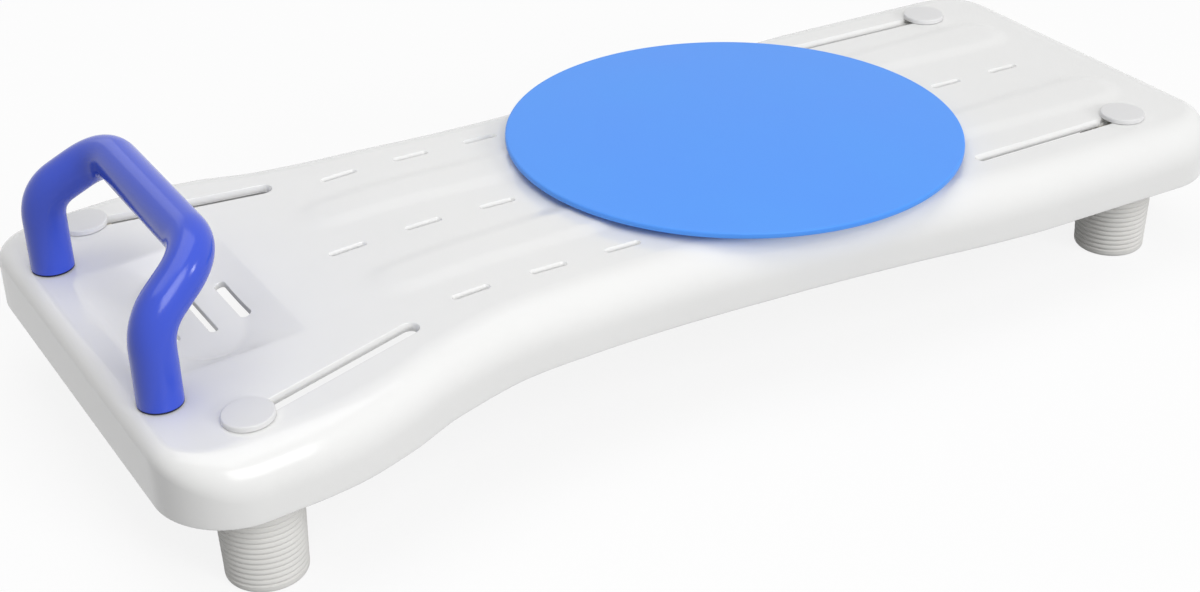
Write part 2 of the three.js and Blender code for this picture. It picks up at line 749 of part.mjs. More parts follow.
// One foot, built about its bolt with heights measured from the deck, at its outer stop
function footPieces(foot) {
  const deck = deckAt(foot.outer.x);
  const place = new THREE.Vector3(foot.outer.x, foot.outer.y, deck);
  const line = slideLine(foot);
  const heading = Math.atan2(line.y, line.x);
  const degrees = THREE.MathUtils.radToDeg(heading);

  const capLow = gap;
  const capTop = capLow + capThickness;
  const pocketLow = capLow + capFloor;
  const keyTop = capLow + joinOverlap;
  const keyLow = -slitDepth + keyShortfall;
  const keyBox = new THREE.BoxGeometry(keyLength, keyWidth, keyTop - keyLow);
  keyBox.translate(0, 0, (keyTop + keyLow) / 2);
  const cap = turned([
    [0, capTop], [capRadius - capEdge, capTop], [capRadius - capEdge / 4, capTop - capEdge / 2],
    [capRadius, capTop - capEdge], [capRadius, capLow + capEdge / 2], [capRadius - capEdge / 2, capLow],
    [0, capLow],
  ], mediumSides)
    .add(toSolid(keyBox).rotate([0, 0, degrees]))
    .subtract(disc(boltHeadRadius + gap, pocketLow, pocketLow + capPocketHeight, mediumSides))
    .subtract(disc(boltRadius + boltClearance, -slitDepth, pocketLow + joinOverlap, smallSides));

  const headLow = pocketLow + gap / 2;
  const headTop = headLow + boltHeadHeight;
  const boltEnd = boltEndHeight - deck;
  const bolt = turned([
    [0, headTop], [boltHeadRadius, headTop], [boltHeadRadius, headLow], [boltRadius, headLow],
    [boltRadius, boltEnd], [0, boltEnd],
  ], smallSides);

  const washerTop = -slitDepth - gap;
  const washerLow = washerTop - washerThickness;
  const washer = ring(boltRadius + gap, washerRadius, washerLow, washerTop, mediumSides);
  const washerDip = washerRadius * Math.abs(foot.slope);

  const flangeTop = washerLow - washerDip - gap;
  const flangeLow = flangeTop - coreFlangeThickness;
  const coreLow = sleeveFloor + gap - deck;
  const pocketEnd = flangeTop - insertLength - 2 * gap;
  const boreEnd = boltEnd - gap;
  const core = turned([
    [insertRadius + gap, flangeTop], [coreFlangeRadius, flangeTop], [coreFlangeRadius, flangeLow],
    [coreRadius, flangeLow], [coreRadius, coreLow], [0, coreLow], [0, boreEnd],
    [boltRadius + gap, boreEnd], [boltRadius + gap, pocketEnd], [insertRadius + gap, pocketEnd],
    [insertRadius + gap, flangeTop],
  ], mediumSides);
  const insertTop = flangeTop - gap;
  const insert = ring(boltRadius + threadClearance, insertRadius, insertTop - insertLength, insertTop, smallSides);

  const sleeve = turned(sleeveProfile(deck + flangeLow - gap), sleeveSides);
  const grounded = new THREE.Vector3(foot.outer.x, foot.outer.y, 0);
  return [
    piece(`foot_cap_${foot.name}`, leaned(cap, foot.slope, keyLow - cutOverrun), grey, place),
    piece(`foot_bolt_${foot.name}`, leaned(bolt, foot.slope, washerTop), steel, place),
    piece(`foot_washer_${foot.name}`, leaned(washer, foot.slope, washerLow - cutOverrun), nylon, place),
    piece(`foot_core_${foot.name}`, core, nylon, place),
    piece(`foot_insert_${foot.name}`, insert, brass, place),
    piece(`foot_sleeve_${foot.name}`, sleeve, rubberGrey, grounded),
  ];
}

// Ribbed sleeve: a rounded rim, rings between grooves, a closed floor and a plain bore
function sleeveProfile(top) {
  const radiusAt = (z) => sleeveBottomRadius + ((sleeveTopRadius - sleeveBottomRadius) * z) / top;
  const rimInset = sleeveFoot / 2;
  const rimRise = sleeveFoot / 4;
  const profile = [[0, 0], [sleeveBottomRadius - rimInset, 0], [sleeveBottomRadius - rimRise, rimRise]];
  profile.push([radiusAt(rimInset), rimInset]);
  for (let i = 0; i < ringCount; i += 1) {
    const groove = sleeveFoot + i * ringPitch;
    profile.push([radiusAt(groove) - ringDepth, groove]);
    profile.push([radiusAt(groove + ringPitch / 2), groove + ringPitch / 2]);
  }
  profile.push([radiusAt(top), top]);
  profile.push([coreRadius + gap, top], [coreRadius + gap, sleeveFloor], [0, sleeveFloor]);
  return profile;
}

// Turntable pieces about the spindle, with heights from the deck, all tilted with the deck
function turntablePieces() {
  const group = new THREE.Group();
  group.position.copy(turntablePlace);
  group.rotation.y = turntableTilt;

  const raceLow = gap;
  const raceTop = raceLow + raceThickness;
  const glideLow = raceTop + gap;
  const glideTop = glideLow + glideThickness;
  const glideOuter = glideInnerRadius + glideWidth;
  const discLow = discLift;
  const discTop = discLow + discThickness;
  const bossLow = raceTop + gap;
  const pocketTop = discTop - discPocketSkin;

  const seat = turned([
    [0, discTop], [discRadius - discBevel, discTop], [discRadius, discTop - discBevel],
    [discRadius, discLow + discLowerBevel], [discRadius - discLowerBevel, discLow],
    [glideOuter + glideTrackMargin, discLow], [glideOuter + glideTrackMargin, glideTop + gap],
    [glideInnerRadius - glideTrackMargin, glideTop + gap], [glideInnerRadius - glideTrackMargin, discLow],
    [discBossRadius, discLow], [discBossRadius, bossLow], [spindleInsertRadius + gap, bossLow],
    [spindleInsertRadius + gap, pocketTop], [0, pocketTop],
  ], fineSides);

  let race = ring(bushFlangeRadius + gap, raceRadius, raceLow, raceTop, mediumSides);
  for (const place of raceScrewPlaces()) {
    const hole = disc(raceScrewRadius + gap, raceLow - cutOverrun, raceTop + cutOverrun, smallSides);
    race = race.subtract(hole.translate([place.x, place.y, 0]));
  }

  const bush = turned([
    [spindleRadius + gap, raceTop], [bushFlangeRadius, raceTop], [bushFlangeRadius, raceLow],
    [bushBodyRadius, raceLow], [bushBodyRadius, -mountBossEnd], [spindleRadius + gap, -mountBossEnd],
    [spindleRadius + gap, raceTop],
  ], mediumSides);

  const insertLow = bossLow;
  const insertTop = pocketTop - gap;
  const insert = ring(spindleRadius + threadClearance, spindleInsertRadius, insertLow, insertTop, mediumSides);

  const washerTop = -mountBossEnd - gap;
  const washerLow = washerTop - mountWasherThickness;
  const headTop = washerLow - gap;
  const headLow = headTop - mountHeadHeight;
  const screw = disc(mountHeadRadius, headLow, headTop, hexSides)
    .add(disc(spindleRadius, headLow + joinOverlap, insertTop - gap, smallSides));

  group.add(
    piece('turntable_disc', seat, seatBlue),
    piece('turntable_race', race, nylon),
    piece('turntable_glide_ring', ring(glideInnerRadius, glideOuter, glideLow, glideTop, mediumSides), nylon),
    piece('turntable_bush', bush, nylon),
    piece('turntable_insert', insert, brass),
    piece('turntable_washer', ring(spindleRadius + gap, mountWasherRadius, washerLow, washerTop, mediumSides), steel),
    piece('turntable_spindle_screw', screw, steel),
  );
  raceScrewPlaces().forEach((place, i) => {
    const headBase = raceTop + gap;
    const fixing = turned([
      [0, headBase + raceScrewHeadHeight], [raceScrewHeadRadius, headBase + raceScrewHeadHeight],
      [raceScrewHeadRadius, headBase], [raceScrewRadius, headBase],
      [raceScrewRadius, headBase - raceScrewLength], [0, headBase - raceScrewLength],
    ], smallSides);
    group.add(piece(`turntable_race_screw_${i + 1}`, fixing, steel, new THREE.Vector3(place.x, place.y, 0)));
  });
  return group;
}

const bathBoard = new THREE.Group();
bathBoard.add(piece('board_shell', boardShell(), white));
bathBoard.add(piece('handle_tube', handleTube(), handleBlue));
for (const side of sides) bathBoard.add(...handleFixing(side));
for (const foot of feet) bathBoard.add(...footPieces(foot));
bathBoard.add(turntablePieces());

export default bathBoard;
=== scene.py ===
import math

import bmesh
import bpy
import numpy as np
from mathutils import Matrix, Vector


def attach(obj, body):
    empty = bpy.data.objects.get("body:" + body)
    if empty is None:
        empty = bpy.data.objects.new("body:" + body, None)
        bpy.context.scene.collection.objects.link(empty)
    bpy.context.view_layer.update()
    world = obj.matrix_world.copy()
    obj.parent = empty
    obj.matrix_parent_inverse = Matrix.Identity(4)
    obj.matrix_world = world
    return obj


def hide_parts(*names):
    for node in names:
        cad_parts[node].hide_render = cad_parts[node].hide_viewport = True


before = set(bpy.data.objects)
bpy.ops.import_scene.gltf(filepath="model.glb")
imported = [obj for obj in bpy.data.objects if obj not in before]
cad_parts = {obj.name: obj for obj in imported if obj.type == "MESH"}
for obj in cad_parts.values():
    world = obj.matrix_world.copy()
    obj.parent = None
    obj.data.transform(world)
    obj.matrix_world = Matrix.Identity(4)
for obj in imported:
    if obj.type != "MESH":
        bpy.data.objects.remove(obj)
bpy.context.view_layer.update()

# Board moulding. One polypropylene shell with a rolled edge and a deep skirt, wider at the
# handle end and waisted. The deck climbs a short ramp, carries four low seat pads and a sunk
# soap dish, and is pierced by drain slots and four adjusting slots.
BOARD_LENGTH, HANDLE_END_HALF, FAR_END_HALF, WAIST_HALF = 740.0, 166.0, 146.5, 127.5
CORNER, SIDE_ROLL, END_ROLL, SKIRT, WALL, DECK = 45.0, 24.0, 10.0, 38.0, 3.6, 95.5
LIP = 1.1
HANDLE_FLARE = ((-0.405, 1.0), (-0.373, 0.965), (-0.324, 0.74), (-0.272, 0.36), (-0.199, 0.09), (-0.088, 0.0))
FAR_FLARE = ((-0.088, 0.0), (0.03, 0.16), (0.146, 0.5), (0.239, 0.89), (0.29, 1.0), (0.34, 1.0))


def smooth_through(points, x):
    """Monotone cubic through the points: Hermite pieces whose tangents are the harmonic
    mean of the slopes on both sides, zero at the two ends."""
    px, py = np.array(points).T
    slope = np.diff(py) / np.diff(px)
    product = slope[:-1] * slope[1:]
    total = slope[:-1] + slope[1:]
    inner = np.where(product > 0, 2 * product / np.where(product > 0, total, 1.0), 0.0)
    tangent = np.concatenate([[0.0], inner, [0.0]])
    x = np.clip(x, px[0], px[-1])
    i = np.clip(np.searchsorted(px, x) - 1, 0, len(slope) - 1)
    span = px[i + 1] - px[i]
    t = (x - px[i]) / span
    return ((2 * t**3 - 3 * t**2 + 1) * py[i] + (t**3 - 2 * t**2 + t) * span * tangent[i]
            + (3 * t**2 - 2 * t**3) * py[i + 1] + (t**3 - t**2) * span * tangent[i + 1])


def half_width(x):
    """Half the board's width at x: the waist plus a share of the flare of that end."""
    share = np.asarray(x) / BOARD_LENGTH
    left = WAIST_HALF + smooth_through(HANDLE_FLARE, share) * (HANDLE_END_HALF - WAIST_HALF)
    right = WAIST_HALF + smooth_through(FAR_FLARE, share) * (FAR_END_HALF - WAIST_HALF)
    return np.where(share < HANDLE_FLARE[-1][0], left, right)


def soft_bend(distance, blend):
    """Zero before -blend, the distance itself after +blend, a parabola between them."""
    return np.where(distance <= -blend, 0.0,
                    np.where(distance >= blend, distance, (distance + blend) ** 2 / (4 * blend)))


CLIMB_START, CLIMB_BLEND, CLIMB_SLOPE = 37.0, 12.0, 0.05
CREST, CREST_BLEND, SLOPE_CHANGE, FALL_SLOPE = 220.0, 20.0, 0.075, 0.025


def deck_at(x, y=0.0):
    """Height of the plain deck, the same at every y: level at the handle end, then a climb at
    one slope, and from the crest on a slow fall, with a soft bend between them."""
    from_end = np.asarray(x, float) + BOARD_LENGTH / 2
    return (DECK + CLIMB_SLOPE * soft_bend(from_end - CLIMB_START, CLIMB_BLEND)
            - SLOPE_CHANGE * soft_bend(from_end - CREST, CREST_BLEND))


def ease(t):
    """Smooth step from 0 to 1 with no slope at either end."""
    t = np.clip(t, 0.0, 1.0)
    return t * t * (3 - 2 * t)


PAD_RISE, PAD_SOFT = 1.5, 14.0
PADS = (
    (-210.0, 0.0, ((-205, 69.0), (0, 65.0)), ((-205, 26.0), (0, 18.0))),
    (144.0, 345.0, ((144, 78.0), (345, 83.0)), ((144, 36.0), (345, 31.0))),
)


def pad_rise(x, y):
    """Rise of the seat pads: each one's is the distance inside a long slot of varying width
    with round ends, eased up over its soft edge."""
    rise = 0.0
    for start, end, outer_edge, inner_edge in PADS:
        outer, inner = smooth_through(outer_edge, x), smooth_through(inner_edge, x)
        middle, half = (outer + inner) / 2, (outer - inner) / 2
        across = np.abs(np.abs(y) - middle)
        along = np.maximum(start + half - x, x - (end - half))
        outside = np.where(along > 0, np.hypot(np.maximum(along, 0), across), across)
        rise = rise + PAD_RISE * ease((half - outside) / PAD_SOFT)
    return rise


DISH_X, DISH_LENGTH, DISH_WIDTH, DISH_DEPTH, DISH_FLOOR = -300.0, 91.0, 135.6, 7.4, (56.0, 104.0)
DISH_SQUARENESS, DISH_SOFT = 14, 0.08


def dish_depth(x, y):
    """Depth of the soap dish: along each ray from its middle the depth runs straight from the
    rim, |u|^n + |v|^n = 1 with n its squareness, down to the oval floor, with soft bends."""
    turn = np.arctan2(y / (DISH_WIDTH / 2), (x - DISH_X) / (DISH_LENGTH / 2))
    rim = (np.abs(np.cos(turn)) ** DISH_SQUARENESS
           + np.abs(np.sin(turn)) ** DISH_SQUARENESS) ** (-1 / DISH_SQUARENESS)
    reach = np.hypot((x - DISH_X) / (DISH_LENGTH / 2), y / (DISH_WIDTH / 2)) / rim
    floor = np.hypot((x - DISH_X) / (DISH_FLOOR[0] / 2), y / (DISH_FLOOR[1] / 2))
    s = floor * (1 - reach) / np.maximum(floor - reach, 1e-9)
    return DISH_DEPTH * (soft_bend(s, DISH_SOFT) - soft_bend(s - 1, DISH_SOFT))


def deck_surface(x, y):
    """Height of the finished deck face at (x, y)."""
    return deck_at(x) + pad_rise(x, y) - dish_depth(x, y)


def ceiling(x, y):
    """Height of the deck's underside at (x, y), which is plain under the pads."""
    return deck_at(x) - dish_depth(x, y) - WALL


def grid_faces(rows, columns, closed):
    """Quads of a grid of rows by columns points, joined round its columns when closed."""
    r, c = np.meshgrid(np.arange(rows - 1), np.arange(columns if closed else columns - 1), indexing="ij")
    r, c = r.ravel(), c.ravel()
    after = (c + 1) % columns
    return np.stack([r * columns + c, (r + 1) * columns + c, (r + 1) * columns + after, r * columns + after], 1)


def new_piece(name, parts, smooth_angle=35.0):
    """Mesh piece from (points in mm, faces) parts: merges doubles, turns its faces outwards
    and smooths all edges below the given angle."""
    points, faces, start = [], [], 0
    for part_points, part_faces in parts:
        points.append(np.reshape(part_points, (-1, 3)) * 0.001)
        faces += [[int(k) + start for k in face] for face in part_faces]
        start += len(points[-1])
    mesh = bpy.data.meshes.new(name)
    mesh.from_pydata(np.concatenate(points).tolist(), [], faces)
    built = bmesh.new()
    built.from_mesh(mesh)
    bmesh.ops.remove_doubles(built, verts=built.verts, dist=2e-6)
    bmesh.ops.dissolve_degenerate(built, edges=built.edges, dist=1e-6)
    bmesh.ops.recalc_face_normals(built, faces=built.faces)
    built.to_mesh(mesh)
    built.free()
    mesh.polygons.foreach_set("use_smooth", [True] * len(mesh.polygons))
    mesh.set_sharp_from_angle(angle=math.radians(smooth_angle))
    piece = bpy.data.objects.new(name, mesh)
    bpy.context.scene.collection.objects.link(piece)
    return piece


def board_half(corner_steps=20, dish_steps=42, side_steps=112, dish_margin=6.0, step=4.0):
    """Half outline as x, y, nx, ny from the handle end: quarter corner, side, quarter corner.
    Stations along the side are closest beside the dish. The side's direction is the slope of
    the half width between a step before and a step after."""
    turn = np.linspace(0, math.pi / 2, corner_steps + 1)
    reach = BOARD_LENGTH / 2 - CORNER
    dish_end = DISH_X + DISH_LENGTH / 2 + dish_margin
    x = np.concatenate([np.linspace(-reach, dish_end, dish_steps)[1:],
                        np.linspace(dish_end, reach, side_steps)[1:-1]])
    slope = (half_width(x + step) - half_width(x - step)) / (2 * step)
    size = np.hypot(slope, 1)
    side = np.stack([x, half_width(x), -slope / size, 1 / size], 1)
    ends = []
    for sign, width in ((-1, HANDLE_END_HALF), (1, FAR_END_HALF)):
        ends.append(np.stack([sign * (reach + CORNER * np.cos(turn)), width - CORNER + CORNER * np.sin(turn),
                              sign * np.cos(turn), np.sin(turn)], 1))
    return np.concatenate([ends[0], side, ends[1][::-1]])


def board_ring(half, across):
    """Closed outline: front side, far end edge, back side, handle end edge."""
    inner = np.linspace(-1, 1, across + 1)[1:-1]
    front, back = half * [1, -1, 1, -1], half[::-1]
    far = np.stack([np.full_like(inner, half[-1, 0]), inner * half[-1, 1], np.ones_like(inner), 0 * inner], 1)
    near = np.stack([np.full_like(inner, half[0, 0]), -inner * half[0, 1], -np.ones_like(inner), 0 * inner], 1)
    return np.concatenate([front, far, back, near])


def board_parts(across=160, roll_steps=10, lip_steps=3, skirt_middle=30.0):
    """Shell: rings carried along the outline, from the deck edge over the roll and the skirt,
    round the lip and up inside, then the deck and the ceiling as ladders across."""
    half = board_half()
    ring = board_ring(half, across)
    roll = END_ROLL + (SIDE_ROLL - END_ROLL) * ring[:, 3] ** 2
    turn = np.linspace(0, math.pi / 2, roll_steps + 1)[:, None]
    lip = np.linspace(0, math.pi / 2, lip_steps + 1)[:, None]

    def rolled(skin):
        """Inset and depth of a quarter circle that lies a skin's thickness inside the roll."""
        return roll - (roll - skin) * np.sin(turn), roll - (roll - skin) * np.cos(turn)

    outer_inset, outer_depth = rolled(0.0)
    inner_inset, inner_depth = rolled(WALL)
    one = np.ones_like(roll)
    skirt_depth = np.array([[skirt_middle], [SKIRT - LIP - 2]]) * one
    inset = [outer_inset, 0 * skirt_depth, LIP * (1 - np.cos(lip)) * one,
             (WALL - LIP + LIP * np.sin(lip)) * one, WALL + 0 * skirt_depth[::-1], inner_inset[::-1]]
    depth = [outer_depth, skirt_depth, (SKIRT - LIP + LIP * np.sin(lip)) * one,
             (SKIRT - LIP + LIP * np.cos(lip)) * one, skirt_depth[::-1], inner_depth[::-1]]
    inset, depth = np.concatenate(inset), np.concatenate(depth)
    x = ring[:, 0] - ring[:, 2] * inset
    y = ring[:, 1] - ring[:, 3] * inset
    shell = np.stack([x, y, deck_surface(x, y) - depth], 2)
    parts = [(shell, grid_faces(len(shell), len(ring), True))]
    count = len(half)
    for row, face in ((0, deck_surface), (len(shell) - 1, ceiling)):
        fx, fy = x[row, :count], y[row, :count]
        gy = fy[:, None] * -np.linspace(-1, 1, across + 1)[None, :]
        gx = np.repeat(fx[:, None], across + 1, 1)
        fill = np.stack([gx, gy, face(gx, gy)], 2)
        parts.append((fill, grid_faces(count, across + 1, False)))
    return parts


def stadium(start, end, radius, steps=10):
    """Outline of a slot with round ends between two places, as (x, y) points."""
    start, end = np.array(start, float), np.array(end, float)
    along = (end - start) / np.hypot(*(end - start))
    side = np.array([-along[1], along[0]])
    turn = np.linspace(-math.pi / 2, math.pi / 2, steps + 1)[:, None]
    cap = np.cos(turn) * along * radius + np.sin(turn) * side * radius
    return np.concatenate([end + cap, start - cap])


def slot_cutter(start, end, levels, surface):
    """Stack of slot outlines: each level is (radius, height above the surface)."""
    rings = []
    for radius, height in levels:
        outline = stadium(start, end, radius)
        rings.append(np.column_stack([outline, surface(outline[:, 0], outline[:, 1]) + height]))
    count = len(rings[0])
    faces = grid_faces(len(rings), count, True).tolist()
    faces += [list(range(count)), list(range((len(rings) - 1) * count, len(rings) * count))[::-1]]
    return np.concatenate(rings), faces


# Drain slots in three rows, none under the race plate, with slanted upper walls that lead the
# water in and catch the light. The three slots in the dish have plain walls and a soft edge.
DRAIN_HALF, DRAIN_PITCH, TURNTABLE_X = 9.3, 49.6, 72.0
MIDDLE_ROW_START, SIDE_ROW_START, SIDE_ROW_Y, PLATE_REACH = -199.7, -164.7, 87.0, 71.0
DRAIN_LEVELS = ((3.6, 3), (2.8, 0), (1.8, -1.1), (1.4, -2.6), (1.4, -9))
DISH_SLOTS = ((27, 44, 6.5), (6, 51, 5), (-15, 44, 5))
cutters = []
for index in range(11):
    place = MIDDLE_ROW_START + index * DRAIN_PITCH
    if abs(place - TURNTABLE_X) > PLATE_REACH:
        cutters.append(slot_cutter((place - DRAIN_HALF, 0), (place + DRAIN_HALF, 0), DRAIN_LEVELS, deck_at))
for index in range(6):
    for row in (-SIDE_ROW_Y, SIDE_ROW_Y):
        place = SIDE_ROW_START + index * DRAIN_PITCH
        cutters.append(slot_cutter((place - DRAIN_HALF, row), (place + DRAIN_HALF, row), DRAIN_LEVELS, deck_at))
for along, length, width in DISH_SLOTS:
    radius, reach = width / 2, (length - width) / 2
    levels = ((radius + 0.6, 9), (radius + 0.25, 0), (radius, -0.4), (radius, -14))
    cutters.append(slot_cutter((DISH_X + along, -reach), (DISH_X + along, reach), levels, deck_surface))

# Adjusting slots, one for each foot, in which the foot's bolt slides. The table gives the foot's
# outer and inner place and the deck's slope there. The far slots have slanted walls and a short
# wide opening where the foot stands.
FEET = {
    "front_handle_end": ((-316.0, -126.6), (-216.3, -101.8), CLIMB_SLOPE),
    "back_handle_end": ((-316.0, 126.6), (-216.3, 101.8), CLIMB_SLOPE),
    "front_far_end": ((310.0, -102.4), (196.8, -103.47), -FALL_SLOPE),
    "back_far_end": ((310.0, 102.4), (196.8, 103.47), -FALL_SLOPE),
}
SLIT_HALF, SLIT_LOW, SLIT_PAST = 4.5, 4.7, 6.09
FAR_SLIT_HALF, FAR_SLIT_OPEN = 2.9, 13.0
SLIT_LEVELS = ((SLIT_HALF + 2.5, 3), (SLIT_HALF + 1.6, 0), (SLIT_HALF + 1.1, -0.5), (SLIT_HALF, -4.6),
               (SLIT_HALF, -9))
FAR_SLIT_LEVELS = ((5.8, 3), (5.0, 0), (3.7, -1.5), (FAR_SLIT_HALF, -3.3), (FAR_SLIT_HALF, -9))
OPENING_LEVELS = ((SLIT_HALF + 1, 3), (SLIT_HALF, 0), (SLIT_HALF, -9))
slits, openings = [], []
for outer_place, inner_place, slope in FEET.values():
    line = np.subtract(inner_place, outer_place)
    line = line / np.hypot(*line)
    slits.append((np.subtract(outer_place, SLIT_PAST * line), np.add(inner_place, SLIT_PAST * line)))
    cutters.append(slot_cutter(*slits[-1], SLIT_LEVELS if slope > 0 else FAR_SLIT_LEVELS, deck_at))
    if slope < 0:
        opening_end = np.add(outer_place, FAR_SLIT_OPEN * line)
        openings.append(slot_cutter(slits[-1][0], opening_end, OPENING_LEVELS, deck_at))


def cut_away(piece, parts):
    """Takes closed cutters away from a piece and keeps the result as its mesh."""
    tool = new_piece("cutter", parts)
    cut = piece.modifiers.new("cut", "BOOLEAN")
    cut.operation, cut.solver, cut.object = "DIFFERENCE", "EXACT", tool
    ready = piece.evaluated_get(bpy.context.evaluated_depsgraph_get())
    mesh = bpy.data.meshes.new_from_object(ready)
    piece.modifiers.remove(cut)
    piece.data = mesh
    bpy.data.objects.remove(tool)
    mesh.polygons.foreach_set("use_smooth", [True] * len(mesh.polygons))
    mesh.set_sharp_from_angle(angle=math.radians(30))


def srgb(code):
    """Linear colour of an sRGB hex value: c / 12.92 when small, else ((c + 0.055) / 1.055) ^ 2.4."""
    part = [int(code[i:i + 2], 16) / 255 for i in (1, 3, 5)]
    return [c / 12.92 if c <= 0.04045 else ((c + 0.055) / 1.055) ** 2.4 for c in part] + [1.0]


def add_node(material, kind, inputs=None, **settings):
    """Adds one node to a material, with its settings, and fills or links its inputs."""
    tree = material.node_tree
    node = tree.nodes.new(kind)
    for name, value in settings.items():
        setattr(node, name, value)
    for name, value in (inputs or {}).items():
        if isinstance(value, bpy.types.NodeSocket):
            tree.links.new(value, node.inputs[name])
        else:
            node.inputs[name].default_value = value
    return node


CLOUDS_PER_METRE, MILKY_SHARE = 14.0, 0.3


def moulded(name, light, dark, roughness, grain_mm, grain_depth_mm, specular=0.5, sheen_spread=0.05,
            metallic=0.0, milky_mm=0.0):
    """Moulded or coated surface: two close tones in clouds about 70 mm wide, roughness that
    wanders with them, and a fine grain whose size and depth are real sizes in mm. Light runs
    the milky depth into one that lets it in."""
    material = bpy.data.materials.new(name)
    material.use_nodes = True
    material.node_tree.nodes.clear()
    place = add_node(material, "ShaderNodeTexCoord").outputs["Object"]
    clouds = add_node(material, "ShaderNodeTexNoise", {
        "Vector": place, "Scale": CLOUDS_PER_METRE, "Detail": 3.0})
    tone = add_node(material, "ShaderNodeMix", {"Factor": clouds.outputs["Fac"]}, data_type="RGBA")
    tone.inputs["A"].default_value = srgb(dark)
    tone.inputs["B"].default_value = srgb(light)
    wander = add_node(material, "ShaderNodeMapRange", {
        "Value": clouds.outputs["Fac"], "To Min": roughness - sheen_spread, "To Max": roughness + sheen_spread})
    grain = add_node(material, "ShaderNodeTexNoise", {
        "Vector": place, "Scale": 1000.0 / grain_mm, "Detail": 2.0})
    bump = add_node(material, "ShaderNodeBump", {
        "Height": grain.outputs["Fac"], "Strength": 1.0, "Distance": grain_depth_mm * 0.001})
    surface = add_node(material, "ShaderNodeBsdfPrincipled", {
        "Base Color": tone.outputs["Result"], "Roughness": wander.outputs["Result"],
        "Normal": bump.outputs["Normal"], "Metallic": metallic, "Specular IOR Level": specular,
        "Subsurface Weight": MILKY_SHARE if milky_mm else 0.0, "Subsurface Scale": milky_mm * 0.001})
    surface.inputs["Subsurface Radius"].default_value = (1.0, 1.0, 1.0)
    add_node(material, "ShaderNodeOutputMaterial", {"Surface": surface.outputs["BSDF"]})
    return material


def dress(piece, material):
    """Gives a piece, or a solid that is shown as it is, its material."""
    piece.data.materials.clear()
    piece.data.materials.append(material)


def finish(piece, material, body, slot, *nodes):
    """Gives a piece its material, its body and the nodes it stands for; the material slot is not used."""
    dress(piece, material)
    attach(piece, body)
    if nodes:
        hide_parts(*nodes)


# Injection-moulded white polypropylene with a fine satin tool finish: a clear highlight along
# the rolled edge, hardly any colour of its own, and a little depth that light runs into.
white_polypropylene = moulded("white_polypropylene", "#f4f4f3", "#efefee", 0.16, 0.7, 0.002, 0.5, 0.02,
                              milky_mm=4.0)
board = new_piece("board_moulding", board_parts())
cut_away(board, cutters)
cut_away(board, openings)
weighted = board.modifiers.new("even_shading", "WEIGHTED_NORMAL")
weighted.keep_sharp, weighted.weight = True, 80
finish(board, white_polypropylene, "board", "white_moulding", "board_shell")


# Ribs and bosses under the deck. They are part of the same moulding: four long ribs, six
# cross ribs, a boss under each handle leg, the turntable's hub boss and three screw bosses.
RIB_DEPTH, RIB_HALF, RIB_ROWS = 24.0, 1.2, (-62.0, -30.0, 30.0, 62.0)


def rib(start, end, steps):
    """Bar under the deck between two places, bent with the deck, as a box of long strips."""
    start, end = np.array(start, float), np.array(end, float)
    along = (end - start) / np.hypot(*(end - start))
    side = np.array([-along[1], along[0]]) * RIB_HALF
    middle = start + (end - start) * np.linspace(0, 1, steps + 1)[:, None]
    corners = []
    for offset, depth in ((side, WALL - 0.5), (side, RIB_DEPTH), (-side, RIB_DEPTH), (-side, WALL - 0.5)):
        place = middle + offset
        corners.append(np.column_stack([place, deck_at(place[:, 0]) - depth]))
    points = np.stack(corners, 1)
    faces = grid_faces(steps + 1, 4, True).tolist() + [[0, 1, 2, 3], [4 * steps + k for k in (3, 2, 1, 0)]]
    return points, faces


def turned(profile, place=(0, 0, 0), tilt=0.0, segments=72):
    """Surface of revolution: each profile point (r, z) goes round the axis, which leans
    towards +x by the tilt and stands at the place."""
    radius, height = np.array(profile, float).T
    turn = np.linspace(0, 2 * math.pi, segments, endpoint=False)
    x, y = radius[:, None] * np.cos(turn), radius[:, None] * np.sin(turn)
    z = np.repeat(height[:, None], segments, 1)
    lean = np.stack([x * math.cos(tilt) + z * math.sin(tilt), y, z * math.cos(tilt) - x * math.sin(tilt)], 2)
    return lean + np.array(place), grid_faces(len(radius), segments, True)


def rounded(profile, radii, steps=5):
    """Profile with each corner turned into an arc: a quadratic bend whose tangents reach
    the given distance along both neighbouring edges."""
    points = [np.array(p, float) for p in profile]
    out = []
    for before, here, after, reach in zip([points[0]] + points[:-1], points, points[1:] + [points[-1]], radii):
        if reach == 0:
            out.append(here)
            continue
        first = here + (before - here) * min(reach / np.hypot(*(before - here)), 0.5)
        last = here + (after - here) * min(reach / np.hypot(*(after - here)), 0.5)
        t = np.linspace(0, 1, steps + 1)[:, None]
        out += list((1 - t) ** 2 * first + 2 * t * (1 - t) * here + t**2 * last)
    return np.array(out)


def square_ring(bore, radius, low, top, radii):
    """Profile of a ring of rectangular section, from its bore's top round and back there,
    with its corners rounded."""
    return rounded([(bore, top), (bore, low), (radius, low), (radius, top), (bore, top)], radii)


HANDLE_X, HANDLE_HALF = -348.5, 87.0
HANDLE_BOSS, HUB_BOSS, SCREW_BOSS = (13.0, 4.6), (16.0, 8.0), (4.2, 1.8)
BOSS_LOW, SCREW_BOSS_LOW = -WALL - 6.0, -WALL - 5.0
TILT = math.atan(FALL_SLOPE)
turntable_place = (TURNTABLE_X, 0.0, float(deck_at(TURNTABLE_X)))


def on_turntable(x, y):
    """Place on the deck's plane at (x, y) from the turntable's axis."""
    return (TURNTABLE_X + x * math.cos(TILT), y, turntable_place[2] - x * math.sin(TILT))


